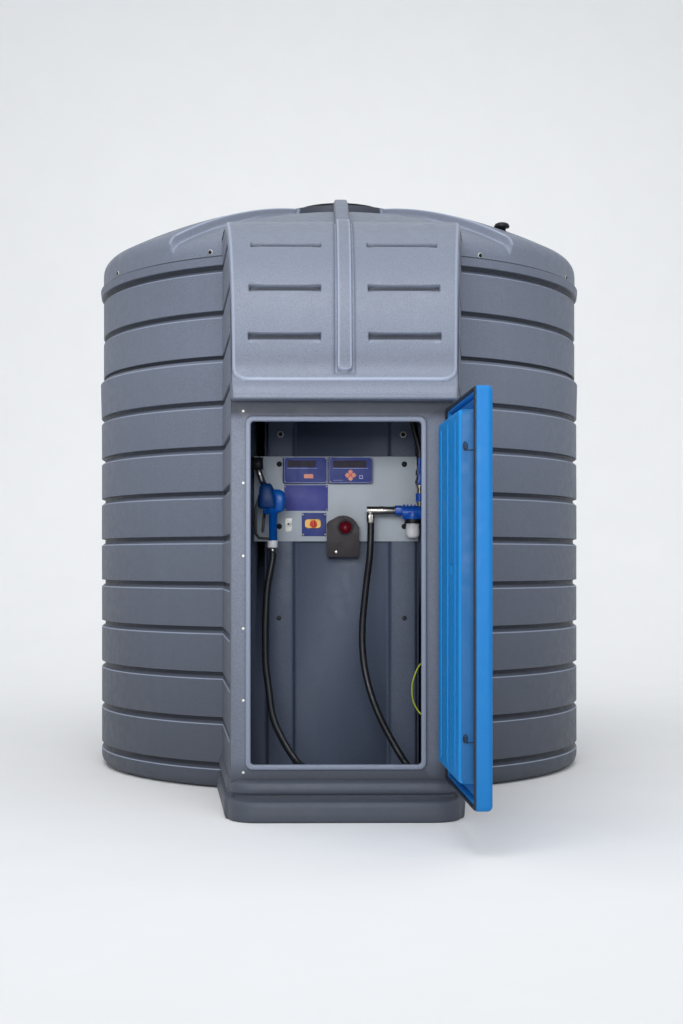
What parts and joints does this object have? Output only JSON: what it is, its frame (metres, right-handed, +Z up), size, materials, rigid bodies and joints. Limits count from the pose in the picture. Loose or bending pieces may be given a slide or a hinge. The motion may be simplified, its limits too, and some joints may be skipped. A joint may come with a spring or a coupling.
{
  "type": "diesel exhaust fluid tank",
  "caption": "Round ribbed plastic storage tank with domed roof and a front dispensing cabinet: hooded, with a blue hinged door, equipment panel, hose and nozzle.",
  "frame": {"origin": "on the tank's vertical axis at ground level", "axes": "+Z up, -Y towards the cabinet and its door, +X to the right seen from the front"},
  "size_m": [2.0486, 3.3338, 2.3774],
  "materials": {
    "grey_plastic": "mid grey rotomoulded polyethylene, satin, lightly weathered",
    "roof_plastic": "grey rotomoulded polyethylene, satin, lighter where the sky catches it",
    "recess_plastic": "grey rotomoulded polyethylene in shade",
    "manway_plastic": "black moulded plastic",
    "black_plastic": "black moulded plastic, satin",
    "door_blue": "bright blue rotomoulded polyethylene, satin",
    "liner_blue": "blue rotomoulded polyethylene, inner face",
    "seal_rubber": "black foam rubber seal",
    "dark_metal": "dark coated steel",
    "steel": "stainless steel, brushed",
    "panel_grey": "light grey coated sheet",
    "display_blue": "dark blue membrane faced case",
    "display_dark": "dark display window",
    "key_salmon": "salmon keypad button",
    "plate_grey": "pale grey plate, bare",
    "yellow_plastic": "yellow moulded plastic",
    "red_plastic": "red moulded plastic",
    "key_grey": "grey metal",
    "lens_red": "dark red tinted lens",
    "fitting_blue": "blue moulded or coated fittings",
    "white_plastic": "white moulded plastic",
    "nozzle_blue": "blue nozzle sleeve",
    "hose_rubber": "black rubber hose",
    "wire_green": "green and yellow insulated wire"
  },
  "bodies": {
    "tank": {"wall_front": "grey_plastic", "wall_side_pair": "grey_plastic", "wall_rear": "grey_plastic", "wall_back": "grey_plastic", "tank_floor": "grey_plastic", "roof_cover": "roof_plastic", "roof_ribs": "roof_plastic", "manway_collar": "manway_plastic", "manway_lid": "manway_plastic", "vent_cap": "black_plastic", "cabinet_sides": "grey_plastic", "cabinet_hood": "roof_plastic", "hood_pad": "roof_plastic", "cabinet_base": "grey_plastic", "cabinet_frame": "grey_plastic", "recess_floor": "recess_plastic", "recess_ceiling": "recess_plastic", "recess_sides": "recess_plastic", "recess_back": "recess_plastic", "hinge_leaves": "dark_metal", "hinge_pins": "steel", "mounting_panel": "panel_grey", "display_cases": "display_blue", "display_screens": "display_dark", "display_keys": "key_salmon", "info_plate": "plate_grey", "switch_plate": "plate_grey", "switch_base": "yellow_plastic", "key_switch": "key_grey", "alarm_housing": "black_plastic", "alarm_lens": "lens_red", "outlet_pipe": "steel", "outlet_nut": "fitting_blue", "filter_head": "fitting_blue", "filter_bracket": "dark_metal", "filter_ring": "black_plastic", "filter_bowl": "white_plastic", "pipe_fittings": "fitting_blue", "valve_body": "steel", "nozzle_holder": "black_plastic", "nozzle_spout": "steel", "nozzle_body": "nozzle_blue", "nozzle_guard": "black_plastic", "hose_swivel": "white_plastic", "hose_fitting": "steel", "hose_drop": "hose_rubber", "hose_coil": "hose_rubber", "hose_rise": "hose_rubber", "supply_hose": "hose_rubber", "earth_wire": "wire_green"},
    "door": {"door_skin": "door_blue", "door_liner": "liner_blue", "door_seal": "seal_rubber", "door_latches": "dark_metal", "door_knuckles": "dark_metal"},
    "lever": {"valve_lever": "fitting_blue"},
    "knob": {"switch_knob": "red_plastic"},
    "trigger": {"nozzle_trigger": "black_plastic"}
  },
  "joints": [
    {"name": "door_hinge", "type": "hinge", "parent": "tank", "child": "door", "pos_m": [0.345, -1.61, 0.75], "axis": [0, 0, 1], "range_deg": [-92.5, 3.5]},
    {"name": "valve_turn", "type": "hinge", "parent": "tank", "child": "lever", "pos_m": [0.288, -1.0035, 1.15], "axis": [0, 1, 0], "range_deg": [-90, 0]},
    {"name": "switch_turn", "type": "hinge", "parent": "tank", "child": "knob", "pos_m": [-0.108, -0.875, 0.997], "axis": [0, 1, 0], "range_deg": [0, 90]},
    {"name": "trigger_squeeze", "type": "hinge", "parent": "tank", "child": "trigger", "pos_m": [-0.284, -1.08, 1.036], "axis": [0, 1, 0], "range_deg": [-12, 0], "stiffness_Nm_per_rad": 2, "springref_deg": 5.73}
  ]
}
